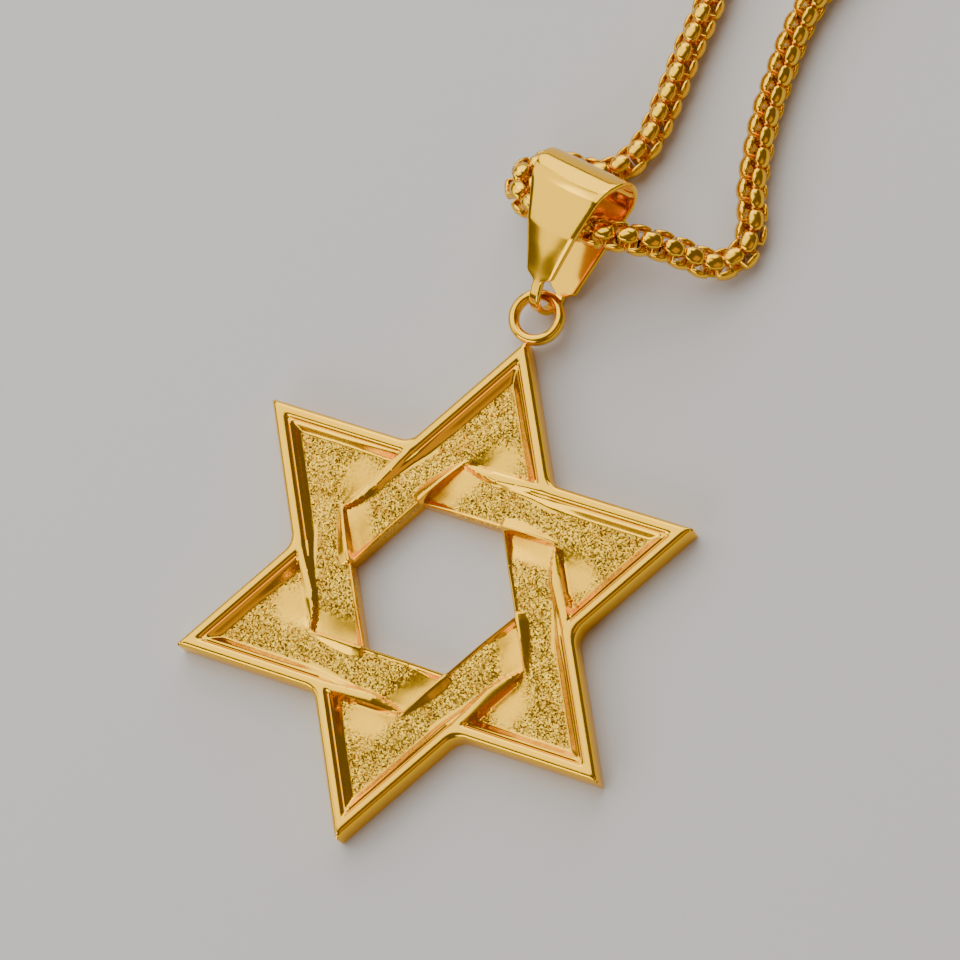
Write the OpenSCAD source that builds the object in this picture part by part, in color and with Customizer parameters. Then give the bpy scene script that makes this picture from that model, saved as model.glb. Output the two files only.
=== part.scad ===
// Six-pointed star pendant on a folded bail and a round box chain, lying on a flat surface.
// Units are millimetres. The origin is the star's centre, on its back face: +Y runs to the
// eyelet and the chain, +Z is the star's front, and everything rests on the plane z = 0.

/* [Star] */
// Tip to tip span of the star
tip_span = 45; // [40:0.5:50]
// Thickness of the star at its rim
star_t = 2.5; // [2.2:0.1:2.8]
// Width of one woven band
band_w = 4.75; // [4.2:0.05:5]
// Width of the polished rim bead round the outline
rim_w = 1.05; // [0.8:0.05:1.3]
// Width of the slope from the rim bead down to the floor
slope_w = 1; // [0.7:0.05:1.2]
// Height of the sandblasted floor in the points
floor_z = 1.65; // [1.4:0.05:1.8]
// Height of a band's floor where it passes over another
over_z = 1.9; // [1.8:0.05:2]
// Height of a band's floor where it dips under another
dip_z = 1; // [0.8:0.05:1.2]

/* [Eyelet] */
// Bore of the eyelet
eye_bore = 3.1; // [2.8:0.1:3.4]
// Radial thickness of the eyelet's ring
eye_w = 0.9; // [0.8:0.05:1]
// Depth of the eyelet's ring, front to back
eye_depth = 1.2; // [1:0.1:1.3]

/* [Bail] */
// Length of the bail, from the middle of the eyelet's wire to the fold
bail_l = 11.7; // [11.4:0.1:12]
// Width of the strap at the fold
bail_w = 8.8; // [8.4:0.1:9.2]
// Width of the strap at its shoulder, just above the neck
shoulder_w = 2.8; // [2.2:0.1:3.2]
// Width of the neck that passes through the eyelet
neck_w = 1; // [0.8:0.1:1.2]
// Thickness of the sheet
sheet_t = 0.5; // [0.4:0.05:0.55]
// Turn of the bail about the star's normal
bail_yaw = -6; // [-8:1:-4]
// Rise of the bail from the surface towards its fold
bail_pitch = 24; // [23:1:26]
// Roll of the bail about its own length
bail_roll = -16; // [-18:1:-14]

/* [Chain] */
// Width of the round box chain
chain_w = 2.8; // [2.6:0.1:2.8]
// Longest step between the rings of the swept tube
ring_step = 11; // [10:0.5:12]

/* [Clasp] */
// Length of the clasp's claw
claw_l = 9; // [8:0.5:10]
// Width of the clasp's claw
claw_w = 5.2; // [4.6:0.2:5.6]
// Thickness of the clasp's claw
claw_t = 2.4; // [2.2:0.1:2.6]
// Outer diameter of the caps that hold the chain's ends
cap_d = 4.2; // [4:0.1:4.6]

/* [Hidden] */
$fn = 48;

gold = [0.83, 0.62, 0.2];
pale_gold = [0.9, 0.72, 0.32];

// Star: the outline's sides and the hole's sides lie at these distances from the centre
tip_r = tip_span / 2;
outer_a = tip_r / 2;
inner_a = outer_a - band_w;
notch_x = outer_a * tan(30);
// the rim bead is rounded over by this much at its top
bead_round = 0.35;
// the bead's inner edge stands this far below its top
bead_drop = 0.25;
// raised edges of a band where it passes over another
strip_z = star_t - 0.1;
strip_crest_w = 0.5;
strip_foot_w = 0.55;
strip_back_w = 0.3;
edge_z = star_t - 0.15;
edge_w = 0.3;
edge_slope_w = 0.6;
lip_h = 0.18;
// a dip reaches its full depth over this length
ramp_l = 4;
rise_l = 3.5;

// Eyelet
eye_z = 1.85;
eye_r = eye_bore / 2 + eye_w / 2;
eye_seat = 0.35;
eye_y = tip_r + eye_bore / 2 + eye_w - eye_seat;
wire_y = eye_y + eye_r;

// Bail: the side view is a loop round two arcs, a small one round the eyelet's wire and
// the fold, with the front crowned by a third
neck_r = 2;
neck_y = 0.35;
fold_r = 2.6;
crown_r = 2.5;
crown_y = 6;
crown_z = 0.15;
neck_drop = 0.5;
front_shoulder_y = 1.8;
back_shoulder_y = 0.6;
bail_x = 0.3;
bail_z = 2.1;

// Chain: the middle of the round box chain, chosen by hand. It starts at the clasp, comes down
// the left of the loop, runs under the bail's fold, turns up into the bail, leaves it on the
// right, bends down to the surface and goes back up the right of the loop.
chain_z = chain_w / 2;
route = [
    [2, 263, 0.7], [-3, 263, 0.7], [-14, 259, 0], [-36, 246, 0], [-54, 223, 0], [-60, 196, 0],
    [-55.5, 168, 0], [-45, 142, 0], [-30, 118, 0], [-14, 96, 0], [-2.5, 76, 0], [3.7, 60, 0],
    [3.9, 50, 0], [3.8, 45, 0], [3.5, 42, 0], [2.3, 39.4, 0], [0.4, 38.1, 0], [-1.9, 38, 0],
    [-4, 37.5, 0.5], [-5.2, 35.8, 1.5], [-4.6, 34, 2.3], [-2.6, 33, 2.9], [0.6, 32.5, 3.5],
    [3.6, 32.1, 4.2], [6.2, 32.4, 4.1], [8.6, 32.8, 3.2], [10.9, 33, 1.7], [13.1, 33.2, 0.5],
    [14.8, 34.9, 0], [14.7, 37.4, 0], [13.3, 41.5, 0], [12.3, 49.5, 0], [13.3, 60, 0], [20.5, 76, 0],
    [32, 96, 0], [48, 118, 0], [63, 142, 0], [73.5, 168, 0], [78, 196, 0], [72, 223, 0],
    [54, 246, 0], [32, 259, 0], [21, 263, 0.7], [16, 263, 0.7]
];

// Clasp: a plain closed claw between two caps, which hold the chain's ends
clasp_x = 9;
clasp_y = 263;
claw_wall = 1.1;
nub_r = 0.8;
stem_w = 1.4;
stem_l = 1;
cap_l = 3.5;
cap_bore = 3.4;
cap_floor = 1.2;

// Corners of a six-pointed star with its tips at radius r, the first towards +Y
function star_points(r) = [
    for (i = [0:11])
        (i % 2 == 0 ? r : r / sqrt(3)) * [cos(90 + 30 * i), sin(90 + 30 * i)]
];

// A band is drawn with its outward side along +Y. Its neighbour on the right passes under it
// and its neighbour on the left passes over it. These give x on a line across the band that
// lies c from the star's centre on that neighbour's own scale.
function right_x(y, c) = (c - y / 2) / cos(30);
function left_x(y, c) = -right_x(y, c);

// A block that stands on z = 0, with its own height at each corner of a convex outline
module ramp(corners, tops) {
    n = len(corners);
    polyhedron(
        points = [
            for (c = corners) [c[0], c[1], 0],
            for (i = [0:n - 1]) [corners[i][0], corners[i][1], tops[i]]
        ],
        faces = [
            [for (i = [0:n - 1]) i],
            [for (i = [n - 1:-1:0]) n + i],
            for (i = [0:n - 1]) [i, n + i, n + (i + 1) % n, (i + 1) % n]
        ]
    );
}

// A bar along X with the profile given as distance from the star's centre and height
module bar(x0, x1, profile) {
    translate([x0, 0, 0]) rotate([90, 0, 90]) linear_extrude(x1 - x0) polygon(profile);
}

// Plate with the rounded rim bead, and the pocket with its sloping sides
module rimmed_plate() {
    slope_top = star_t - bead_drop;
    pocket_r = tip_r - 2 * (rim_w + slope_w);
    mouth_r = tip_r - 2 * rim_w;
    difference() {
        union() {
            linear_extrude(star_t - bead_round) polygon(star_points(tip_r));
            translate([0, 0, star_t - bead_round])
                linear_extrude(bead_round, scale = (tip_r - 1.2 * bead_round) / tip_r)
                    polygon(star_points(tip_r));
        }
        translate([0, 0, dip_z]) linear_extrude(star_t) polygon(star_points(pocket_r));
        translate([0, 0, floor_z])
            linear_extrude(slope_top - floor_z, scale = mouth_r / pocket_r)
                polygon(star_points(pocket_r));
        translate([0, 0, slope_top]) linear_extrude(star_t) polygon(star_points(mouth_r));
    }
}

// Floor, dips and raised edges of one band
module band_relief() {
    ramp_c = inner_a - ramp_l;
    // level stretch that passes over the neighbour on the right, then down under the left one
    over_corners = [
        [left_x(outer_a, ramp_c), outer_a], [left_x(inner_a, ramp_c), inner_a],
        [right_x(inner_a, outer_a), inner_a], [right_x(outer_a, outer_a), outer_a]
    ];
    ramp(over_corners, [over_z, over_z, over_z, over_z]);
    dip_corners = [
        [left_x(outer_a, inner_a), outer_a], [left_x(inner_a, inner_a), inner_a],
        [left_x(inner_a, ramp_c), inner_a], [left_x(outer_a, ramp_c), outer_a]
    ];
    ramp(dip_corners, [dip_z, dip_z, over_z, over_z]);
    // raised outer edge, which carries the rim's line on across the neighbour
    bar(left_x(outer_a, inner_a), notch_x - rim_w, [
        [outer_a, 0], [outer_a, dip_z], [outer_a - strip_back_w, strip_z],
        [outer_a - strip_back_w - strip_crest_w, strip_z],
        [outer_a - strip_back_w - strip_crest_w - strip_foot_w, over_z - 0.05],
        [outer_a - strip_back_w - strip_crest_w - strip_foot_w, 0]
    ]);
    // raised inner edge, which starts as a point in the star's tip and ends at the hole's corner
    corner_x = right_x(inner_a, inner_a);
    start_x = right_x(inner_a, outer_a);
    crest_y = inner_a + edge_w;
    foot_y = crest_y + edge_slope_w;
    ramp(
        [[corner_x, inner_a], [start_x, inner_a], [start_x - edge_w, crest_y], [corner_x, crest_y]],
        [edge_z, edge_z, edge_z, edge_z]
    );
    ramp(
        [[corner_x, crest_y], [start_x - edge_w, crest_y], [corner_x, foot_y]],
        [edge_z, edge_z, over_z - 0.05]
    );
    // thin lip along the hole
    ramp(
        [
            [-corner_x, inner_a], [left_x(inner_a, ramp_c), inner_a],
            [left_x(inner_a, ramp_c), crest_y], [-corner_x, crest_y]
        ],
        [dip_z + lip_h, over_z + lip_h, over_z + lip_h, dip_z + lip_h]
    );
    ramp(
        [
            [left_x(inner_a, ramp_c), inner_a], [corner_x, inner_a],
            [corner_x, crest_y], [left_x(inner_a, ramp_c), crest_y]
        ],
        [over_z + lip_h, over_z + lip_h, over_z + lip_h, over_z + lip_h]
    );
}

// Floor of the point beyond one band: level on the left, rising out of the dip on the right
module point_floor() {
    side_x = notch_x * (tip_r - outer_a - rise_l) / (tip_r - outer_a);
    dip_end_x = left_x(outer_a, inner_a);
    ramp(
        [
            [notch_x, outer_a], [side_x, outer_a + rise_l],
            [dip_end_x, outer_a + rise_l], [dip_end_x, outer_a]
        ],
        [dip_z, floor_z, floor_z, dip_z]
    );
    linear_extrude(floor_z)
        polygon([
            [dip_end_x, outer_a], [dip_end_x, outer_a + rise_l], [side_x, outer_a + rise_l],
            [0, tip_r - rim_w], [-notch_x, outer_a]
        ]);
}

module eyelet() {
    round_r = eye_w / 2;
    translate([0, eye_y, eye_z])
        rotate_extrude()
            translate([eye_r, 0]) {
                square([eye_w, eye_depth - eye_w], center = true);
                for (side = [-1, 1])
                    translate([0, side * (eye_depth - eye_w) / 2]) circle(round_r);
            }
}

module star() {
    color(gold) {
        difference() {
            union() {
                rimmed_plate();
                for (k = [0:5])
                    rotate(60 * k) {
                        band_relief();
                        point_floor();
                    }
            }
            // six-sided hole, whose sides face the tips
            translate([0, 0, -1])
                linear_extrude(star_t + 2) circle(r = inner_a / cos(30), $fn = 6);
        }
        eyelet();
    }
}

// Side view of the bail, in its length and depth, shrunk by inset
module bail_side(inset) {
    hull() {
        translate([neck_y, 0]) circle(neck_r - inset);
        translate([bail_l - fold_r, 0]) circle(fold_r - inset);
        translate([crown_y, crown_z]) circle(crown_r - inset);
    }
}

// Plan of the strap from the neck to the fold, on one side of the bail's middle plane
module bail_plan(shoulder_y) {
    half_fold = bail_w / 2;
    half_shoulder = shoulder_w / 2;
    half_neck = neck_w / 2;
    linear_extrude(2 * fold_r)
        polygon([
            [-half_neck, -2 * neck_r], [half_neck, -2 * neck_r],
            [half_neck, shoulder_y - neck_drop], [half_shoulder, shoulder_y],
            [half_fold, bail_l], [half_fold, bail_l + 1],
            [-half_fold, bail_l + 1], [-half_fold, bail_l],
            [-half_shoulder, shoulder_y], [-half_neck, shoulder_y - neck_drop]
        ]);
}

module bail() {
    color(pale_gold)
        translate([bail_x, wire_y, bail_z])
            rotate([0, 0, bail_yaw])
                rotate([bail_pitch, 0, 0])
                    rotate([0, bail_roll, 0])
                        intersection() {
                            translate([-bail_w, 0, 0])
                                rotate([90, 0, 90])
                                    linear_extrude(2 * bail_w)
                                        difference() {
                                            bail_side(0);
                                            bail_side(sheet_t);
                                        }
                            union() {
                                bail_plan(front_shoulder_y);
                                translate([0, 0, -2 * fold_r]) bail_plan(back_shoulder_y);
                            }
                        }
}

// Smooth curve through the route's points, with extra rings on the long steps
function curve_point(a, b, c, d, t) =
    0.5 * ((2 * b) + (c - a) * t + (2 * a - 5 * b + 4 * c - d) * t * t
    + (3 * b - a - 3 * c + d) * t * t * t);
function smooth_path(p) = let(last = len(p) - 1) [
    for (i = [0:last - 1])
        let(
            a = p[max(i - 1, 0)], b = p[i], c = p[i + 1], d = p[min(i + 2, last)],
            steps = max(1, ceil(norm(c - b) / ring_step))
        )
        for (s = [0:steps - 1]) curve_point(a, b, c, d, s / steps),
    p[last]
];
function unit(v) = v / norm(v);
function heading(p, i) = unit(p[min(i + 1, len(p) - 1)] - p[max(i - 1, 0)]);

// Eight-sided tube whose flats face up and down
module tube(p, width) {
    sides = 8;
    corner_r = width / 2 / cos(180 / sides);
    n = len(p);
    points = [
        for (i = [0:n - 1])
            let(f = heading(p, i), across = unit(cross(f, [0, 0, 1])), up = cross(across, f))
            for (k = [0:sides - 1])
                let(a = 360 * (k + 0.5) / sides)
                p[i] + corner_r * (cos(a) * across + sin(a) * up)
    ];
    faces = [
        [for (k = [0:sides - 1]) k],
        [for (k = [sides - 1:-1:0]) (n - 1) * sides + k],
        for (i = [0:n - 2], k = [0:sides - 1])
            let(next = (k + 1) % sides)
            [i * sides + k, (i + 1) * sides + k, (i + 1) * sides + next, i * sides + next]
    ];
    polyhedron(points = points, faces = faces, convexity = 10);
}

module chain() {
    raised = [for (p = route) p + [0, 0, chain_z]];
    color(gold) tube(smooth_path(raised), chain_w);
}

// Outline of the claw, shrunk by inset
module claw_outline(inset) {
    claw_r = claw_w / 2;
    claw_half = claw_l / 2 - claw_r;
    square([2 * claw_half, claw_w - 2 * inset], center = true);
    for (side = [-1, 1]) translate([side * claw_half, 0]) circle(claw_r - inset);
}

module clasp() {
    cap_x = claw_l / 2 + stem_l;
    color(gold)
        translate([clasp_x, clasp_y, cap_d / 2]) {
            translate([0, 0, -claw_t / 2])
                linear_extrude(claw_t)
                    difference() {
                        union() {
                            claw_outline(0);
                            translate([-claw_w / 4, claw_w / 2]) circle(nub_r);
                        }
                        claw_outline(claw_wall);
                    }
            for (side = [0, 180])
                rotate([0, 0, side]) {
                    translate([claw_l / 2 - claw_wall / 2, 0, 0])
                        rotate([0, 90, 0])
                            cylinder(d = stem_w, h = stem_l + claw_wall);
                    translate([cap_x, 0, 0])
                        rotate([0, 90, 0])
                            difference() {
                                cylinder(d = cap_d, h = cap_l);
                                translate([0, 0, cap_floor]) cylinder(d = cap_bore, h = cap_l);
                            }
                }
        }
}

star();
bail();
chain();
clasp();
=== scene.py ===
import math

import bmesh
import bpy
import numpy as np
from mathutils import Matrix, Vector


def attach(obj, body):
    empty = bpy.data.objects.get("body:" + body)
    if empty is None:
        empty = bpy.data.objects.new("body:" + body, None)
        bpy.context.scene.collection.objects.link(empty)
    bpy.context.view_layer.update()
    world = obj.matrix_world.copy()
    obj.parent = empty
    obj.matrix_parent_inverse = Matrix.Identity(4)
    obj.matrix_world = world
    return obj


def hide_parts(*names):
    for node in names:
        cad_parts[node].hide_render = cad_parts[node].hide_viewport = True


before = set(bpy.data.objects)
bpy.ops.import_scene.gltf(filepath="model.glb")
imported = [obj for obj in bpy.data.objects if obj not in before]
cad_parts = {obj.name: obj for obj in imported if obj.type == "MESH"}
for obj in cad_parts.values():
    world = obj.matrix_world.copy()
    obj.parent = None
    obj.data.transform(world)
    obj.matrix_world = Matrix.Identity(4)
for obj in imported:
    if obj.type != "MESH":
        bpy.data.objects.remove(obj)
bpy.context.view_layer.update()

mm = 0.001
sin30 = 0.5
cos30 = math.cos(math.radians(30))
tan30 = math.tan(math.radians(30))
satin = 0.5  # the attribute matte is 0 where polished, this where smooth, 1 where sandblasted


def ramp(low, high, value):
    # eased from 0 at low to 1 at high
    t = np.clip((value - low) / (high - low), 0.0, 1.0)
    return t * t * (3.0 - 2.0 * t)


def softMax(a, b, k):
    # the higher of two surfaces, with the crease between them rounded over k
    h = np.clip(0.5 + 0.5 * (a - b) / k, 0.0, 1.0)
    return b + (a - b) * h + k * h * (1.0 - h)


def meshObject(name, verts, faces, material=None, sharpDegrees=40.0):
    mesh = bpy.data.meshes.new(name)
    mesh.from_pydata([tuple(v) for v in verts], [], faces)
    mesh.validate()
    mesh.polygons.foreach_set("use_smooth", [True] * len(mesh.polygons))
    mesh.set_sharp_from_angle(angle=math.radians(sharpDegrees))
    obj = bpy.data.objects.new(name, mesh)
    bpy.context.scene.collection.objects.link(obj)
    if material:
        mesh.materials.append(material)
    return obj


def bakeModifiers(obj, name):
    graph = bpy.context.evaluated_depsgraph_get()
    mesh = bpy.data.meshes.new_from_object(
        obj.evaluated_get(graph), preserve_all_data_layers=True, depsgraph=graph)
    plain = bpy.data.objects.new(name, mesh)
    mesh.name = name
    bpy.context.scene.collection.objects.link(plain)
    bpy.data.objects.remove(obj)
    return plain


def socketId(tree, name):
    for item in tree.interface.items_tree:
        if item.item_type == "SOCKET" and item.in_out == "INPUT" and item.name == name:
            return item.identifier
    raise KeyError(name)


# materials

def goldMaterial(name, cfg):
    # gold plating, polished, or with sandblasted floors where cfg holds sand
    mat = bpy.data.materials.new(name)
    mat.use_nodes = True
    nodes, links = mat.node_tree.nodes, mat.node_tree.links
    shader = nodes["Principled BSDF"]
    shader.inputs["Metallic"].default_value = 1.0
    place = nodes.new("ShaderNodeTexCoord")

    def noise(scale, detail, rough=0.5):
        n = nodes.new("ShaderNodeTexNoise")
        n.inputs["Scale"].default_value = scale
        n.inputs["Detail"].default_value = detail
        n.inputs["Roughness"].default_value = rough
        links.new(place.outputs["Object"], n.inputs["Vector"])
        return n

    def remap(source, low, high, toLow, toHigh):
        r = nodes.new("ShaderNodeMapRange")
        r.inputs["From Min"].default_value = low
        r.inputs["From Max"].default_value = high
        r.inputs["To Min"].default_value = toLow
        r.inputs["To Max"].default_value = toHigh
        links.new(source, r.inputs["Value"])
        return r.outputs["Result"]

    def mixColor(factor, a, b):
        m = nodes.new("ShaderNodeMix")
        m.data_type = "RGBA"
        for slot, value in ((6, a), (7, b)):
            if isinstance(value, tuple):
                m.inputs[slot].default_value = (*value, 1.0)
            else:
                links.new(value, m.inputs[slot])
        links.new(factor, m.inputs[0])
        return m.outputs[2]

    def vector(operation, a, b=None, scale=None):
        v = nodes.new("ShaderNodeVectorMath")
        v.operation = operation
        links.new(a, v.inputs[0])
        if isinstance(b, tuple):
            v.inputs[1].default_value = b
        elif b is not None:
            links.new(b, v.inputs[1])
        if scale is not None:
            links.new(scale, v.inputs["Scale"])
        return v.outputs[0]

    def bump(height, depth, normal=None):
        b = nodes.new("ShaderNodeBump")
        b.inputs["Strength"].default_value = 1.0
        b.inputs["Distance"].default_value = depth
        links.new(height, b.inputs["Height"])
        if normal is not None:
            links.new(normal, b.inputs["Normal"])
        return b.outputs["Normal"]

    smudge = noise(cfg["smudgeScale"], 3.0).outputs["Fac"]
    polishedRough = remap(smudge, *cfg["smudgeSpread"], *cfg["polishedRough"])
    polishedTint = mixColor(smudge, cfg["color"], cfg["colorWarm"])
    ripple = noise(cfg["rippleScale"], 2.0).outputs["Fac"]
    if not cfg.get("sand"):
        links.new(polishedTint, shader.inputs["Base Color"])
        links.new(polishedRough, shader.inputs["Roughness"])
        links.new(bump(ripple, cfg["rippleDepth"]), shader.inputs["Normal"])
        return mat

    matte = nodes.new("ShaderNodeAttribute")
    matte.attribute_name = "matte"
    matte = matte.outputs["Fac"]
    # each grain is a small facet with its own tilt, and a painted shade from the dark pit colour up to
    # the sand colour
    grains = nodes.new("ShaderNodeTexVoronoi")
    grains.inputs["Scale"].default_value = cfg["grainScale"]
    links.new(place.outputs["Object"], grains.inputs["Vector"])
    surface = nodes.new("ShaderNodeNewGeometry")
    tilt = vector("SUBTRACT", grains.outputs["Color"], (0.5, 0.5, 0.5))
    tilt = vector("SCALE", tilt, scale=remap(matte, satin, 1.0, 0.0, cfg["grainTilt"]))
    tilted = vector("NORMALIZE", vector("ADD", surface.outputs["Normal"], tilt))
    shade = nodes.new("ShaderNodeSeparateColor")
    links.new(grains.outputs["Color"], shade.inputs["Color"])
    # larger random patches are darkened towards the same painted pit shade
    darkPatches = noise(cfg["darkPatchScale"], 2.0, 0.6).outputs["Fac"]
    grainShade = remap(shade.outputs["Blue"], *cfg["shadeSpread"], 0.0, 1.0)
    sandTint = mixColor(grainShade, cfg["colorPitShade"], cfg["colorSand"])
    patchDarkening = remap(darkPatches, *cfg["darkPatchSpread"], 0.0, cfg["darkPatches"])
    sandTint = mixColor(patchDarkening, sandTint, cfg["colorPitShade"])
    tint = mixColor(remap(matte, satin, 1.0, 0.0, 1.0), polishedTint, sandTint)
    rough = nodes.new("ShaderNodeMix")
    rough.data_type = "FLOAT"
    links.new(remap(matte, 0.0, satin, 0.0, 1.0), rough.inputs[0])
    links.new(polishedRough, rough.inputs[2])
    links.new(remap(shade.outputs["Green"], 0.0, 1.0, *cfg["sandRough"]), rough.inputs[3])
    links.new(tint, shader.inputs["Base Color"])
    links.new(rough.outputs[0], shader.inputs["Roughness"])
    links.new(bump(ripple, cfg["rippleDepth"], tilted), shader.inputs["Normal"])
    return mat


goldLook = {
    "color": (1.0, 0.59, 0.025), "colorWarm": (1.0, 0.53, 0.018),
    "smudgeScale": 160.0, "smudgeSpread": (0.3, 0.7), "polishedRough": (0.13, 0.22),
    "rippleScale": 420.0, "rippleDepth": 0.00001,
}
# the pit colour is painted shade in the sand's pits; the darker patches mix towards it too
sandLook = {
    "sand": True, "colorSand": (1.0, 0.64, 0.05), "colorPitShade": (0.34, 0.13, 0.008),
    "grainScale": 8200.0, "grainTilt": 0.92, "shadeSpread": (0.0, 0.6), "sandRough": (0.26, 0.36),
    "darkPatches": 0.5, "darkPatchScale": 700.0, "darkPatchSpread": (0.45, 0.75),
}
starGold = goldMaterial("starGold", {**goldLook, **sandLook})
bailGold = goldMaterial("bailGold", {
    **goldLook, "rippleDepth": 0.000006, "polishedRough": (0.1, 0.16)})
chainGold = goldMaterial("chainGold", {
    **goldLook, "rippleScale": 900.0, "rippleDepth": 0.000008, "polishedRough": (0.14, 0.24)})
print("materials done")


# star: one sixth as a fine sheet, repeated by Geometry Nodes

# lengths in mm; a pair is where something starts and ends, a table holds places and values
starCfg = {
    "tipR": 22.5, "outer": 11.25, "inner": 6.5, "step": 0.125, "weld": 0.004, "sharp": 38.0,
    "tipRadius": 0.14, "tipFade": 1.2, "notchRadius": 1.7, "notchFade": 1.6,
    "backEdge": 0.14, "backInset": 0.24, "blend": 0.04, "fineBlend": 0.03,
    # height of the rim, inwards from the outline: bead, groove, slope down to the floor
    "rim": (
        (0.0, 0.06, 0.125, 0.25, 0.375, 0.5, 0.65, 0.8, 0.9, 1.0, 1.125, 1.25,
         1.375, 1.75, 1.875, 2.0, 2.125, 2.5),
        (2.02, 2.2, 2.31, 2.42, 2.475, 2.497, 2.5, 2.485, 2.45, 2.38, 2.2, 2.25,
         2.18, 1.78, 1.66, 1.61, 1.6, 1.6)),
    "slopeFrom": 1.2, "slopeTop": 2.25, "outsideSlope": 2.4, "mitre": 0.24,
    # floor of a band, which is domed and dips where it goes under its neighbour
    "over": 1.9, "tipFloor": 1.6, "overToTip": (9.0, 14.0),
    "dip": 0.75, "dipOuter": 0.4, "dipLength": 3.8, "dipPower": 1.2, "dipAcross": (1.0, 3.4),
    "dome": 0.1, "domePlace": 2.9, "domeHalf": 1.7, "domeFade": (6.8, 9.0),
    # floor of a point, which falls towards the band that goes under and swells beside it
    "fallDepth": 0.5, "fallLength": 3.8, "fallPower": 1.6, "fallSide": (4.9, 7.4),
    "swell": 0.1, "swellPlace": 7.2, "swellHalf": 0.9,
    "swellStart": (-2.5, 0.6), "swellEnd": (2.0, 5.5),
    # raised outer edge of a band where it crosses over, and the rim of the next point beside it
    "strip": 2.38, "stripLow": 1.98, "stripRise": (-1.1, 1.4), "stripEdge": 0.375,
    "stripWidth": ((-1.1, -0.4, 0.6, 2.0, 4.0, 6.5), (0.16, 0.42, 0.64, 0.74, 0.62, 0.4)),
    "stripRound": 0.13, "stripSlope": 1.0, "stripSlopeDip": 1.3,
    "flankSlope": 4.5, "flankFrom": -1.5, "rimFrom": 7.0,
    "aheadEnd": 0.55, "aheadSlope": 3.0,
    # ridges on a band's inner edge: a thin lip along the hole, a wedge where the band crosses over
    "ridgeFrom": 6.62, "ridgeSlope": 1.5,
    "wedge": 0.52, "wedgeStart": (3.45, 3.8), "wedgeSunk": 0.3, "wedgeEnd": 6.8, "wedgeSlope": 0.62,
    "wedgeTaper": ((3.5, 4.6, 6.0, 7.6, 9.24), (0.75, 1.0, 0.9, 0.5, 0.0)),
    "lip": 0.17, "lipDip": 0.4, "lipEnd": 6.72, "lipSlope": 1.3,
    # where the sandblasting starts, and where it gives way to a smooth floor
    "matteHeight": (0.02, 0.08), "matteFrom": (1.1, 1.3), "matteRim": (1.3, 1.5), "rimShift": 0.8,
    "mattePoint": (1.85, 2.05), "matteFlank": (-0.15, -0.05), "smoothDip": (0.2, 0.55),
    "smoothSide": (5.6, 7.3), "smoothBeyond": (1.4, 3.0), "smoothAlong": (2.0, 4.2),
    "grainHeight": 0.016, "grainMargin": 0.1, "seed": 7,
}


def rimHeight(t, floor, cfg):
    tipFloor, slopeTop = cfg["tipFloor"], cfg["slopeTop"]
    z = np.interp(t, *cfg["rim"])
    sloped = floor + (z - tipFloor) * (slopeTop - floor) / (slopeTop - tipFloor)
    return np.where(t > cfg["slopeFrom"], sloped, z)


def levelFloor(c, cfg):
    return cfg["over"] - (cfg["over"] - cfg["tipFloor"]) * ramp(*cfg["overToTip"], c)


def pointFloor(x, y, cfg):
    cLeft = y / 2 - x * cos30
    beyond = y - cfg["outer"]
    side = 1.0 - ramp(*cfg["fallSide"], cLeft)
    fall = (1.0 - np.clip(beyond / cfg["fallLength"], 0.0, 1.0)) ** cfg["fallPower"]
    swell = np.exp(-((cLeft - cfg["swellPlace"]) / cfg["swellHalf"]) ** 2)
    swell = swell * ramp(*cfg["swellStart"], beyond) * (1.0 - ramp(*cfg["swellEnd"], beyond))
    smooth = 1.0
    for fade, place in (("smoothSide", cLeft), ("smoothBeyond", beyond), ("smoothAlong", x)):
        smooth = smooth * (1.0 - ramp(*cfg[fade], place))
    z = levelFloor(y, cfg) - cfg["fallDepth"] * side * fall + cfg["swell"] * swell
    return z, smooth


def stripTop(x, t, cfg):
    # raised edge that starts as a point at the crossing and swells like a leaf
    crest = np.interp(x, cfg["stripRise"], [cfg["stripLow"], cfg["strip"]])
    across = np.clip((t - cfg["stripEdge"]) / np.interp(x, *cfg["stripWidth"]), 0.0, 1.0)
    return crest - cfg["stripRound"] * (1.0 - across) ** 2


def stripFlank(x, t, cfg):
    # outward side of the raised edge, which turns into the next point's rim at the notch
    cRight = x * cos30 + (cfg["outer"] - t) / 2
    toRim = ramp(cfg["rimFrom"], cfg["outer"], cRight)
    steep = stripTop(x, t, cfg) - (cfg["stripEdge"] - t) * cfg["flankSlope"]
    rimInside = rimHeight(np.maximum(t, 0.0), cfg["tipFloor"], cfg)
    rimOutside = cfg["rim"][1][0] + cfg["outsideSlope"] * t
    rim = np.where(t > 0.0, rimInside, rimOutside)
    return steep * (1.0 - toRim) + rim * toRim, toRim


def innerRidge(y, crest, end, slope, cfg):
    # narrow flat top that slopes down towards the rim from end on, and more steeply inwards
    outwards = (y - end) * slope
    inwards = (cfg["ridgeFrom"] - y) * cfg["ridgeSlope"]
    return crest - np.maximum(np.maximum(outwards, inwards), 0.0)


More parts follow.
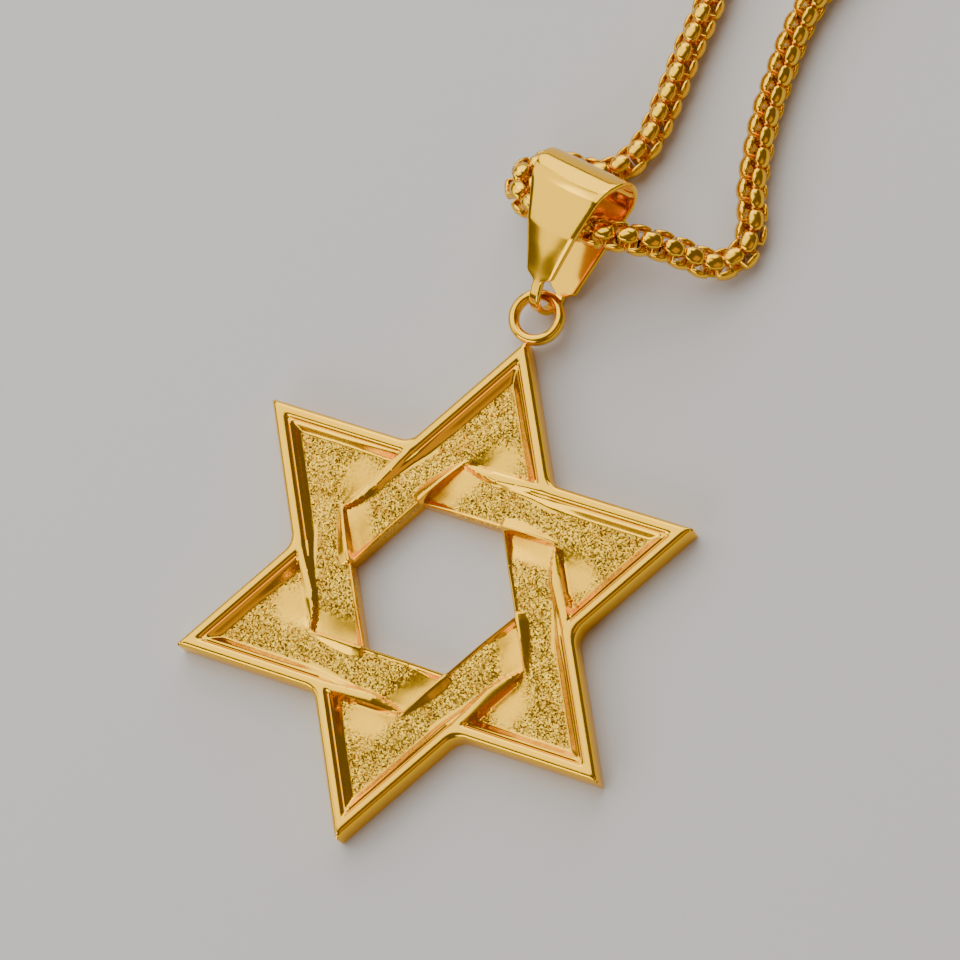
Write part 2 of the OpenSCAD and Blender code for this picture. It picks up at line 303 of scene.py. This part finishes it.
def bandSurface(x, y, cfg):
    # band drawn with its outward side along +Y: it passes over on the right and under on the left
    cRight, cLeft = x * cos30 + y / 2, -x * cos30 + y / 2
    outer, inner = cfg["outer"], cfg["inner"]
    t = outer - y
    dipAmount = ramp(inner - cfg["dipLength"], inner, cLeft) ** cfg["dipPower"]
    depth = cfg["dipOuter"] + (cfg["dip"] - cfg["dipOuter"]) * ramp(*cfg["dipAcross"], t)
    dome = cfg["dome"] * np.maximum(1.0 - ((t - cfg["domePlace"]) / cfg["domeHalf"]) ** 2, 0.0)
    dome = dome * (1.0 - ramp(*cfg["domeFade"], cRight))
    floor = levelFloor(cRight, cfg) - depth * dipAmount + dome
    flank, toRim = stripFlank(x, t, cfg)
    beyond = np.maximum(t - cfg["stripEdge"] - np.interp(x, *cfg["stripWidth"]), 0.0)
    inward = stripTop(x, t, cfg) - beyond * (cfg["stripSlope"] + cfg["stripSlopeDip"] * dipAmount)
    inward = inward * (1.0 - toRim) + rimHeight(t, floor, cfg) * toRim
    z = np.where(t < cfg["stripEdge"], flank, softMax(floor, inward, cfg["blend"]))
    # the wedge starts thin in the neighbouring point and ends bluntly at the hole's corner
    wedgeOn = ramp(*cfg["wedgeStart"], x)
    sunk = floor - cfg["wedgeSunk"]
    wedgeCrest = floor + cfg["wedge"] * np.interp(x, *cfg["wedgeTaper"])
    wedge = innerRidge(y, wedgeCrest, cfg["wedgeEnd"], cfg["wedgeSlope"], cfg)
    z = np.where(wedgeOn > 0, softMax(z, sunk + (wedge - sunk) * wedgeOn, cfg["fineBlend"]), z)
    lipCrest = floor + cfg["lip"] + cfg["lipDip"] * dipAmount
    lip = innerRidge(y, lipCrest, cfg["lipEnd"], cfg["lipSlope"], cfg)
    z = np.where(wedgeOn < 1, softMax(z, lip, cfg["fineBlend"]), z)
    # the right neighbour's point keeps its rim up to this band's flank
    pointZ, _ = pointFloor(x, np.full_like(y, outer), cfg)
    ahead = rimHeight(outer - cRight, pointZ, cfg)
    ahead = ahead - cfg["aheadSlope"] * np.maximum(t - cfg["aheadEnd"], 0.0)
    z = np.maximum(z, ahead)
    matte = (1.0 - ramp(*cfg["matteHeight"], z - floor)) * ramp(*cfg["matteFrom"], t)
    onRim = (toRim > 0.02) * (1.0 - ramp(*cfg["matteRim"], t - cfg["rimShift"] * toRim))
    matte = matte * (1.0 - onRim)
    return z, matte * (1.0 - satin * ramp(*cfg["smoothDip"], dipAmount))


def sectorHeight(x, y, cfg):
    cRight, cLeft = x * cos30 + y / 2, -x * cos30 + y / 2
    outer = cfg["outer"]
    own, ownMatte = bandSurface(x, y, cfg)
    over, overMatte = bandSurface(x * sin30 + y * cos30, cLeft, cfg)
    crossed = cLeft >= cfg["inner"] - 1e-6
    z = np.where(crossed, over, own)
    matte = np.where(crossed, overMatte, ownMatte)
    floor, smooth = pointFloor(x, y, cfg)
    t = -softMax(cRight - outer, cLeft - outer, cfg["mitre"])
    point = rimHeight(t, floor, cfg)
    flank, _ = stripFlank(x, outer - y, cfg)
    flank = np.where(x > cfg["flankFrom"], flank, -1.0)
    pointZ = softMax(point, flank, cfg["fineBlend"])
    pointMatte = ramp(*cfg["mattePoint"], t) * (1.0 - satin * smooth)
    pointMatte = pointMatte * (1.0 - ramp(*cfg["matteFlank"], flank - point))
    inPoint = y > outer + 1e-6
    return np.where(inPoint, pointZ, z), np.where(inPoint, pointMatte, matte)


def roundCorners(x, y, cfg):
    # the notch on either side of the point, then the tip
    x, y = x.copy(), y.copy()
    radius = cfg["notchRadius"]
    for side in (-1.0, 1.0):
        a = math.radians(90.0 - side * 30.0)
        e = np.array([math.cos(a), math.sin(a)])
        notch = e * cfg["outer"] / cos30
        qx, qy = x - notch[0], y - notch[1]
        along = qx * e[0] + qy * e[1]
        aside = np.abs(-qx * e[1] + qy * e[0])
        edge = aside * tan30
        curve = radius / cos30 - np.sqrt(np.maximum(radius ** 2 - aside ** 2, 0.0))
        gap = np.where(aside < radius * sin30, np.maximum(curve - edge, 0.0), 0.0)
        gap = gap * (1.0 - ramp(0.0, cfg["notchFade"], edge - along))
        x += e[0] * gap
        y += e[1] * gap
    radius = cfg["tipRadius"]
    aside = np.abs(x)
    edge = aside / tan30
    curve = radius / sin30 - np.sqrt(np.maximum(radius ** 2 - aside ** 2, 0.0))
    gap = np.where(aside < radius * cos30, np.maximum(curve - edge, 0.0), 0.0)
    y -= gap * (1.0 - ramp(0.0, cfg["tipFade"], cfg["tipR"] - y - edge))
    return x, y


def sectorMesh(cfg):
    # rows of points across one sixth, from the hole out to the tip
    step, outer, inner, tipR = cfg["step"], cfg["outer"], cfg["inner"], cfg["tipR"]
    xs, ys, rows = [], [], []
    for k in range(round(inner / step), round(tipR / step) + 1):
        y = k * step
        half = min(y, tipR - y) * tan30
        count = round(min(y, tipR - y) / step) + 1
        rows.append((len(xs), count))
        for i in range(count):
            xs.append(-half + 2 * half * i / max(count - 1, 1))
            ys.append(y)
    x, y = np.array(xs), np.array(ys)
    z, matte = sectorHeight(x, y, cfg)
    rng = np.random.default_rng(cfg["seed"])
    grainy = (matte > satin) * (np.abs(x) < y * tan30 - cfg["grainMargin"])
    z = z + rng.uniform(-1.0, 1.0, len(z)) * cfg["grainHeight"] * grainy
    px, py = roundCorners(x, y, cfg)
    verts = list(zip(px, py, z))
    faces = []
    for (s0, n0), (s1, n1) in zip(rows, rows[1:]):
        if n1 > n0:
            for i in range(n0):
                faces.append((s0 + i, s1 + i + 1, s1 + i))
                if i < n0 - 1:
                    faces.append((s0 + i, s0 + i + 1, s1 + i + 1))
        else:
            for i in range(n1):
                faces.append((s0 + i, s0 + i + 1, s1 + i))
                if i < n1 - 1:
                    faces.append((s0 + i + 1, s1 + i + 1, s1 + i))
    # edges that get a side: from each notch to the tip, and along the hole
    widest = round(outer / step) - round(inner / step)
    leftSide = [s for s, n in rows[widest:]]
    rightSide = [s + n - 1 for s, n in rows[widest:]]
    holeSide = list(range(rows[0][1]))
    mask = list(matte)

    def wall(ring, scale):
        # carries an edge of the sheet down the side and round to the flat back
        low = len(verts)
        n = len(ring)
        for v in ring:
            verts.append((px[v], py[v], cfg["backEdge"]))
        for v in ring:
            verts.append((px[v] * scale, py[v] * scale, 0.0))
        mask.extend([0.0] * (2 * n))
        for i in range(n - 1):
            faces.append((ring[i], low + i, low + i + 1, ring[i + 1]))
            faces.append((low + i, low + n + i, low + n + i + 1, low + i + 1))
        return list(range(low + n, low + 2 * n))

    inwards = (tipR - cfg["backInset"]) / tipR
    outwards = (inner + cfg["backInset"] / 2) / inner
    up = wall(rightSide, inwards)
    down = wall(leftSide[::-1], inwards)
    hole = wall(holeSide[::-1], outwards)
    # the back runs round the sixth clockwise seen from the front
    faces.append(tuple((up + down[1:] + hole[::-1])[::-1]))
    return verts, faces, mask


def sixfoldTree(material):
    tree = bpy.data.node_groups.new("sixfoldStar", "GeometryNodeTree")
    face = tree.interface
    face.new_socket("Geometry", in_out="INPUT", socket_type="NodeSocketGeometry")
    face.new_socket("Copies", in_out="INPUT", socket_type="NodeSocketInt")
    face.new_socket("Turn", in_out="INPUT", socket_type="NodeSocketFloat")
    face.new_socket("Weld", in_out="INPUT", socket_type="NodeSocketFloat")
    face.new_socket("Geometry", in_out="OUTPUT", socket_type="NodeSocketGeometry")
    nodes, links = tree.nodes, tree.links
    source = nodes.new("NodeGroupInput")
    result = nodes.new("NodeGroupOutput")
    points = nodes.new("GeometryNodePoints")
    index = nodes.new("GeometryNodeInputIndex")
    angle = nodes.new("ShaderNodeMath")
    angle.operation = "MULTIPLY"
    turn = nodes.new("ShaderNodeCombineXYZ")
    place = nodes.new("GeometryNodeInstanceOnPoints")
    real = nodes.new("GeometryNodeRealizeInstances")
    weld = nodes.new("GeometryNodeMergeByDistance")
    paint = nodes.new("GeometryNodeSetMaterial")
    paint.inputs["Material"].default_value = material
    links.new(source.outputs["Copies"], points.inputs["Count"])
    links.new(index.outputs[0], angle.inputs[0])
    links.new(source.outputs["Turn"], angle.inputs[1])
    links.new(angle.outputs[0], turn.inputs["Z"])
    links.new(points.outputs[0], place.inputs["Points"])
    links.new(source.outputs["Geometry"], place.inputs["Instance"])
    links.new(turn.outputs[0], place.inputs["Rotation"])
    links.new(place.outputs[0], real.inputs[0])
    links.new(real.outputs[0], weld.inputs["Geometry"])
    links.new(source.outputs["Weld"], weld.inputs["Distance"])
    links.new(weld.outputs[0], paint.inputs["Geometry"])
    links.new(paint.outputs[0], result.inputs[0])
    return tree


verts, faces, mask = sectorMesh(starCfg)
sector = meshObject("starSector", [Vector(v) * mm for v in verts], faces)
layer = sector.data.attributes.new("matte", "FLOAT", "POINT")
layer.data.foreach_set("value", mask)
sixfold = sector.modifiers.new("sixfold", "NODES")
tree = sixfoldTree(starGold)
sixfold.node_group = tree
sixfold[socketId(tree, "Copies")] = 6
sixfold[socketId(tree, "Turn")] = math.radians(60)
sixfold[socketId(tree, "Weld")] = starCfg["weld"] * mm
star = bakeModifiers(sector, "star")
star.data.materials.clear()
star.data.materials.append(starGold)
star.data.polygons.foreach_set("material_index", [0] * len(star.data.polygons))
star.data.set_sharp_from_angle(angle=math.radians(starCfg["sharp"]))
print("star sheet done", len(star.data.polygons))


def ringMesh(centre, radius, wire, depth, turns=72, sides=20):
    vs, fs = [], []
    for i in range(turns):
        a = 2 * math.pi * i / turns
        for j in range(sides):
            b = 2 * math.pi * j / sides
            bulge = wire / 2 * math.cos(b)
            z = (depth - wire) / 2 * (1 if math.sin(b) > 1e-6 else -1 if math.sin(b) < -1e-6 else 0)
            r = radius + bulge
            vs.append((centre[0] + r * math.cos(a), centre[1] + r * math.sin(a),
                       centre[2] + z + wire / 2 * math.sin(b)))
            fs.append((i * sides + j, ((i + 1) % turns) * sides + j,
                       ((i + 1) % turns) * sides + (j + 1) % sides, i * sides + (j + 1) % sides))
    return vs, fs


def joinInto(target, verts, faces, sharpDegrees=50.0):
    extra = meshObject("extra", [Vector(v) * mm for v in verts], faces, sharpDegrees=sharpDegrees)
    extra.data.attributes.new("matte", "FLOAT", "POINT")
    extra.data.materials.append(target.data.materials[0])
    with bpy.context.temp_override(
            active_object=target, object=target, selected_editable_objects=[target, extra],
            selected_objects=[target, extra]):
        bpy.ops.object.join()


eyeletCfg = {"centre": (0.0, 24.6, 1.85), "radius": 2.0, "wire": 0.9, "depth": 1.2}
vs, fs = ringMesh(**eyeletCfg)
joinInto(star, vs, fs)

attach(star, "root")
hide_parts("star")
print("star done")


# bail: one folded strap

bailCfg = {
    "length": 11.7, "width": 8.8, "shoulder": 2.8, "neck": 1.0, "sheet": 0.5,
    # seen from the side, the strap runs round three circles: neck, fold and the crown between them
    "neckR": 2.0, "neckY": 0.35, "foldR": 2.6, "crownR": 2.5, "crownY": 6.0, "crownZ": 0.15,
    "frontShoulderY": 1.8, "backShoulderY": 0.6, "neckDrop": 0.5,
    "yaw": -6.0, "pitch": 24.0, "roll": -16.0, "base": (0.3, 26.6, 2.1), "edge": 0.14,
    "stations": 220, "columns": (-0.88, -0.7, -0.5, -0.25, 0.0, 0.25, 0.5, 0.7, 0.88), "sharp": 55.0,
    # the front panel is slightly pillowed, less so towards the neck and round the fold
    "pillow": 0.16, "pillowNeck": (0.6, 4.5), "pillowFold": (8.6, 11.2), "pillowFront": (0.0, 1.4),
}


def hullOfCircles(circles, samples=240):
    pts = []
    for cy, cz, r in circles:
        for i in range(samples):
            a = 2 * math.pi * i / samples
            pts.append((cy + r * math.cos(a), cz + r * math.sin(a)))
    pts = sorted(set(pts))

    def half(points):
        hull = []
        for p in points:
            while len(hull) > 1 and (
                    (hull[-1][0] - hull[-2][0]) * (p[1] - hull[-2][1])
                    - (hull[-1][1] - hull[-2][1]) * (p[0] - hull[-2][0])) <= 0:
                hull.pop()
            hull.append(p)
        return hull[:-1]

    return half(pts) + half(pts[::-1])


def bailMesh(cfg):
    mid = cfg["sheet"] / 2
    loop = np.array(hullOfCircles([
        (cfg["neckY"], 0.0, cfg["neckR"] - mid),
        (cfg["length"] - cfg["foldR"], 0.0, cfg["foldR"] - mid),
        (cfg["crownY"], cfg["crownZ"], cfg["crownR"] - mid)]))
    # even stations along the loop, and the outward direction at each
    closed = np.vstack([loop, loop[:1]])
    dist = np.concatenate([[0], np.cumsum(np.linalg.norm(np.diff(closed, axis=0), axis=1))])
    stations = np.linspace(0, dist[-1], cfg["stations"], endpoint=False)
    y = np.interp(stations, dist, closed[:, 0])
    z = np.interp(stations, dist, closed[:, 1])
    ty = np.roll(y, -1) - np.roll(y, 1)
    tz = np.roll(z, -1) - np.roll(z, 1)
    norm = np.hypot(ty, tz)
    ny, nz = tz / norm, -ty / norm
    widths = [cfg["neck"] / 2, cfg["neck"] / 2, cfg["shoulder"] / 2, cfg["width"] / 2]
    front, back = [
        np.interp(y, [-9, shoulderY - cfg["neckDrop"], shoulderY, cfg["length"]], widths)
        for shoulderY in (cfg["frontShoulderY"], cfg["backShoulderY"])]
    half = np.where(z > 0, front, back)
    pillow = cfg["pillow"] * ramp(*cfg["pillowNeck"], y)
    pillow = pillow * (1.0 - ramp(*cfg["pillowFold"], y)) * ramp(*cfg["pillowFront"], z)
    edge = cfg["edge"]
    section = []
    for sx, st, start in ((1, 1, 0), (-1, 1, 90), (-1, -1, 180), (1, -1, 270)):
        for k in range(4):
            a = math.radians(start + 30 * k)
            section.append((sx, edge * (math.cos(a) - sx), st * (mid - edge) + edge * math.sin(a)))
    vs, fs = [], []
    for i in range(len(y)):
        h = half[i]
        row = [(h * sx + dx, off) for sx, dx, off in section]
        top = [(-(h - edge) * a, mid) for a in cfg["columns"]]
        low = [((h - edge) * a, -mid) for a in cfg["columns"]]
        row = row[:4] + top + row[4:12] + low + row[12:]
        for x, off in row:
            out = off + pillow[i] * (1.0 - min(abs(x) / h, 1.0) ** 2)
            vs.append((x, y[i] + ny[i] * out, z[i] + nz[i] * out))
    m = len(section) + 2 * len(cfg["columns"])
    n = len(y)
    for i in range(n):
        for j in range(m):
            a, b = i * m + j, i * m + (j + 1) % m
            c, d = ((i + 1) % n) * m + (j + 1) % m, ((i + 1) % n) * m + j
            fs.append((a, b, c, d))
    yaw, pitch, roll = (math.radians(cfg[k]) for k in ("yaw", "pitch", "roll"))
    turn = Matrix.Rotation(yaw, 3, "Z") @ Matrix.Rotation(pitch, 3, "X") @ Matrix.Rotation(roll, 3, "Y")
    base = Vector(cfg["base"])
    return [turn @ Vector(v) + base for v in vs], fs


vs, fs = bailMesh(bailCfg)
bail = meshObject("bail", [v * mm for v in vs], fs, bailGold, bailCfg["sharp"])
outward = bmesh.new()
outward.from_mesh(bail.data)
bmesh.ops.recalc_face_normals(outward, faces=outward.faces)
outward.to_mesh(bail.data)
outward.free()
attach(bail, "root")
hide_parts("bail")
print("bail done", len(bail.data.polygons))


# chain: one link, repeated along the route by Geometry Nodes

chainCfg = {
    "half": 1.4, "pitch": 0.94, "endSteps": 3,
    # a quarter of a link: middle of the wall, its shoulder, and the corner where the bar starts
    "wallX": 0.98, "wallDepth": 0.14, "wallHalf": 0.76,
    "shoulderZ": 0.46, "shoulderTurn": 9.0, "shoulderDrop": 0.08, "shoulderHalf": 0.72,
    "cornerX": 1.02, "cornerZ": 0.735, "cornerTurn": 48.0, "cornerOut": 0.221, "cornerDepth": 0.17,
    "barHalf": 0.52,
    # the right strand is turned about its own length between these steps of the route
    "strandTurn": 45.0, "turnStarts": (270, 300), "turnEnds": (330, 350),
}
# the solid tube's route, as heights above a chain that lies on the floor
route = [
    (2, 263, 0.7), (-3, 263, 0.7), (-14, 259, 0), (-36, 246, 0), (-54, 223, 0), (-60, 196, 0),
    (-55.5, 168, 0), (-45, 142, 0), (-30, 118, 0), (-14, 96, 0), (-2.5, 76, 0), (3.7, 60, 0),
    (3.9, 50, 0), (3.8, 45, 0), (3.5, 42, 0), (2.3, 39.4, 0), (0.4, 38.1, 0), (-1.9, 38, 0),
    (-4, 37.5, 0.5), (-5.2, 35.8, 1.5), (-4.6, 34, 2.3), (-2.6, 33, 2.9), (0.6, 32.5, 3.5),
    (3.6, 32.1, 4.2), (6.2, 32.4, 4.1), (8.6, 32.8, 3.2), (10.9, 33, 1.7), (13.1, 33.2, 0.5),
    (14.8, 34.9, 0), (14.7, 37.4, 0), (13.3, 41.5, 0), (12.3, 49.5, 0), (13.3, 60, 0), (20.5, 76, 0),
    (32, 96, 0), (48, 118, 0), (63, 142, 0), (73.5, 168, 0), (78, 196, 0), (72, 223, 0),
    (54, 246, 0), (32, 259, 0), (21, 263, 0.7), (16, 263, 0.7)]


def smoothRoute(points, lift, spans=10):
    # smooth curve through the points, in short steps
    p = [np.array(q, float) + (0, 0, lift) for q in points]
    out = []
    for i in range(len(p) - 1):
        a, b, c, d = p[max(i - 1, 0)], p[i], p[i + 1], p[min(i + 2, len(p) - 1)]
        for s in range(spans):
            t = s / spans
            out.append(0.5 * (2 * b + (c - a) * t + (2 * a - 5 * b + 4 * c - d) * t * t
                              + (3 * b - a - 3 * c + d) * t ** 3))
    return out + [p[-1]]


def linkMesh(cfg):
    # closed loop of flat wire: two domed walls joined by a bar at each end, Z along the chain
    dome = cfg["half"] - cfg["wallX"]
    # place across and along the link, turn of the outward side, height out, depth in, half width
    quarter = [
        (cfg["wallX"], 0.0, 0.0, dome, cfg["wallDepth"], cfg["wallHalf"]),
        (cfg["wallX"], cfg["shoulderZ"], cfg["shoulderTurn"], dome - cfg["shoulderDrop"],
         cfg["wallDepth"], cfg["shoulderHalf"]),
        (cfg["cornerX"], cfg["cornerZ"], cfg["cornerTurn"], cfg["cornerOut"], cfg["cornerDepth"],
         cfg["barHalf"])]
    ring = quarter[::-1] + [(x, -z, -a, up, low, w) for x, z, a, up, low, w in quarter[1:]]
    ring = ring[::-1] + [(-x, z, 180.0 - a, up, low, w) for x, z, a, up, low, w in ring]
    section = [(-1.0, 0.0), (-0.66, 0.7), (0.0, 1.0), (0.66, 0.7), (1.0, 0.0), (0.7, -1.0), (-0.7, -1.0)]
    n, m = len(ring), len(section)
    vs, fs = [], []
    for x, z, a, up, low, width in ring:
        nx, nz = math.cos(math.radians(a)), math.sin(math.radians(a))
        for side, out in section:
            reach = out * (up if out > 0 else low)
            vs.append((x + nx * reach, side * width, z + nz * reach))
    for i in range(n):
        for j in range(m):
            fs.append((i * m + j, i * m + (j + 1) % m,
                       ((i + 1) % n) * m + (j + 1) % m, ((i + 1) % n) * m + j))
    return vs, fs


def chainTree(link, material):
    tree = bpy.data.node_groups.new("linkedChain", "GeometryNodeTree")
    face = tree.interface
    face.new_socket("Geometry", in_out="INPUT", socket_type="NodeSocketGeometry")
    face.new_socket("Links", in_out="INPUT", socket_type="NodeSocketInt")
    face.new_socket("Quarter turn", in_out="INPUT", socket_type="NodeSocketFloat")
    face.new_socket("Geometry", in_out="OUTPUT", socket_type="NodeSocketGeometry")
    nodes, links = tree.nodes, tree.links
    source = nodes.new("NodeGroupInput")
    result = nodes.new("NodeGroupOutput")
    upright = nodes.new("GeometryNodeSetCurveNormal")
    upright.mode = "Z_UP"
    toPoints = nodes.new("GeometryNodeCurveToPoints")
    toPoints.mode = "COUNT"
    info = nodes.new("GeometryNodeObjectInfo")
    info.inputs["Object"].default_value = link
    index = nodes.new("GeometryNodeInputIndex")
    odd = nodes.new("ShaderNodeMath")
    odd.operation = "MODULO"
    odd.inputs[1].default_value = 2.0
    angle = nodes.new("ShaderNodeMath")
    angle.operation = "MULTIPLY"
    spin = nodes.new("ShaderNodeCombineXYZ")
    turn = nodes.new("FunctionNodeRotateEuler")
    turn.rotation_type = "EULER"
    turn.space = "LOCAL"
    place = nodes.new("GeometryNodeInstanceOnPoints")
    real = nodes.new("GeometryNodeRealizeInstances")
    smooth = nodes.new("GeometryNodeSetShadeSmooth")
    paint = nodes.new("GeometryNodeSetMaterial")
    paint.inputs["Material"].default_value = material
    links.new(source.outputs["Geometry"], upright.inputs[0])
    links.new(upright.outputs[0], toPoints.inputs["Curve"])
    links.new(source.outputs["Links"], toPoints.inputs["Count"])
    links.new(index.outputs[0], odd.inputs[0])
    links.new(odd.outputs[0], angle.inputs[0])
    links.new(source.outputs["Quarter turn"], angle.inputs[1])
    links.new(angle.outputs[0], spin.inputs["Z"])
    links.new(toPoints.outputs["Rotation"], turn.inputs["Rotation"])
    links.new(spin.outputs[0], turn.inputs["Rotate By"])
    links.new(toPoints.outputs["Points"], place.inputs["Points"])
    links.new(info.outputs["Geometry"], place.inputs["Instance"])
    links.new(turn.outputs[0], place.inputs["Rotation"])
    links.new(place.outputs[0], real.inputs[0])
    links.new(real.outputs[0], smooth.inputs[0])
    links.new(smooth.outputs[0], paint.inputs["Geometry"])
    links.new(paint.outputs[0], result.inputs[0])
    return tree


vs, fs = linkMesh(chainCfg)
link = meshObject("link", [Vector(v) * mm for v in vs], fs, sharpDegrees=180.0)
line = bpy.data.curves.new("route", "CURVE")
line.dimensions = "3D"
spline = line.splines.new("POLY")
# the end links stop short of the floor of the clasp's caps
steps = smoothRoute(route, chainCfg["half"])[chainCfg["endSteps"]:-chainCfg["endSteps"]]
spline.points.add(len(steps) - 1)
for index, (point, step) in enumerate(zip(spline.points, steps)):
    point.co = (*(step * mm), 1.0)
    turned = ramp(*chainCfg["turnStarts"], index) * (1.0 - ramp(*chainCfg["turnEnds"], index))
    point.tilt = math.radians(chainCfg["strandTurn"]) * float(turned)
chainCurve = bpy.data.objects.new("chainRoute", line)
bpy.context.scene.collection.objects.link(chainCurve)
repeat = chainCurve.modifiers.new("links", "NODES")
tree = chainTree(link, chainGold)
repeat.node_group = tree
routeLength = sum(np.linalg.norm(b - a) for a, b in zip(steps, steps[1:]))
repeat[socketId(tree, "Links")] = round(routeLength / chainCfg["pitch"])
repeat[socketId(tree, "Quarter turn")] = math.radians(90)
chain = bakeModifiers(chainCurve, "chain")
bpy.data.objects.remove(link)
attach(chain, "root")
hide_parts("chain")
print("chain done", len(chain.data.polygons))


# clasp: the solid's own shape in the bail's gold

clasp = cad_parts["clasp"]
clasp.data.materials.clear()
clasp.data.materials.append(bailGold)
print("clasp done")


# floor, lights and camera

def plainMaterial(name, color, rough):
    mat = bpy.data.materials.new(name)
    mat.use_nodes = True
    shader = mat.node_tree.nodes["Principled BSDF"]
    shader.inputs["Base Color"].default_value = (*color, 1.0)
    shader.inputs["Roughness"].default_value = rough
    return mat


stageCfg = {
    "floorHalf": 1.5, "floorColor": (0.72, 0.71, 0.69), "floorRough": 0.7,
    "worldColor": (0.14, 0.118, 0.1), "lightDistance": 0.9, "lightAim": (0.0, 0.01, 0.0),
}
half = stageCfg["floorHalf"]
floorMat = plainMaterial("paleFloor", stageCfg["floorColor"], stageCfg["floorRough"])
floor = meshObject("floor", [(-half, -half, 0), (half, -half, 0), (half, half, 0), (-half, half, 0)],
                   [(0, 1, 2, 3)], floorMat)

world = bpy.data.worlds.new("studio")
bpy.context.scene.world = world
world.use_nodes = True
backdrop = world.node_tree.nodes["Background"]
backdrop.inputs["Color"].default_value = (*stageCfg["worldColor"], 1.0)
backdrop.inputs["Strength"].default_value = 1.0


def softLight(name, direction, size, watts, color):
    data = bpy.data.lights.new(name, "AREA")
    data.shape = "RECTANGLE"
    data.size, data.size_y = size
    data.energy = watts
    data.color = color
    light = bpy.data.objects.new(name, data)
    d = Vector(direction).normalized()
    light.location = Vector(stageCfg["lightAim"]) + d * stageCfg["lightDistance"]
    light.rotation_mode = "QUATERNION"
    light.rotation_quaternion = (-d).to_track_quat("-Z", "Y")
    bpy.context.scene.collection.objects.link(light)


# direction, size in metres, watts and colour of each light
lightCfg = {
    "key": ((-0.36, 0.24, 0.9), (0.95, 0.78), 4.6, (1.0, 1.0, 1.0)),
    "front": ((-0.33, -0.84, 0.44), (0.8, 0.4), 3.0, (1.0, 1.0, 1.0)),
    "back": ((-0.33, 0.94, 0.48), (1.0, 0.66), 4.9, (1.0, 1.0, 1.0)),
    "left": ((-0.85, -0.02, 0.5), (1.05, 0.42), 2.3, (1.0, 1.0, 1.0)),
    "fill": ((0.72, -0.2, 0.55), (0.8, 0.5), 0.62, (1.0, 0.6, 0.3)),
}
for name, (direction, size, watts, color) in lightCfg.items():
    softLight(name, direction, size, watts, color)

# place in mm, and the directions that point right, up and into the picture
cameraCfg = {
    "lens": 187.5, "sensor": 36.0, "clip": (0.02, 5.0), "place": (137.36, -67.03, 386.9),
    "right": (0.9018, 0.3523, -0.2503), "up": (-0.2799, 0.9174, 0.2828),
    "forward": (-0.3292, 0.1850, -0.9259),
}
camData = bpy.data.cameras.new("camera")
camData.sensor_width = cameraCfg["sensor"]
camData.lens = cameraCfg["lens"]
camera = bpy.data.objects.new("camera", camData)
bpy.context.scene.collection.objects.link(camera)
right, up, forward = (Vector(cameraCfg[k]) for k in ("right", "up", "forward"))
pose = Matrix((right, up, -forward)).transposed().to_4x4()
pose.translation = Vector(cameraCfg["place"]) * mm
camera.matrix_world = pose
camData.clip_start, camData.clip_end = cameraCfg["clip"]
bpy.context.scene.camera = camera
print("stage done")

print("scene done")
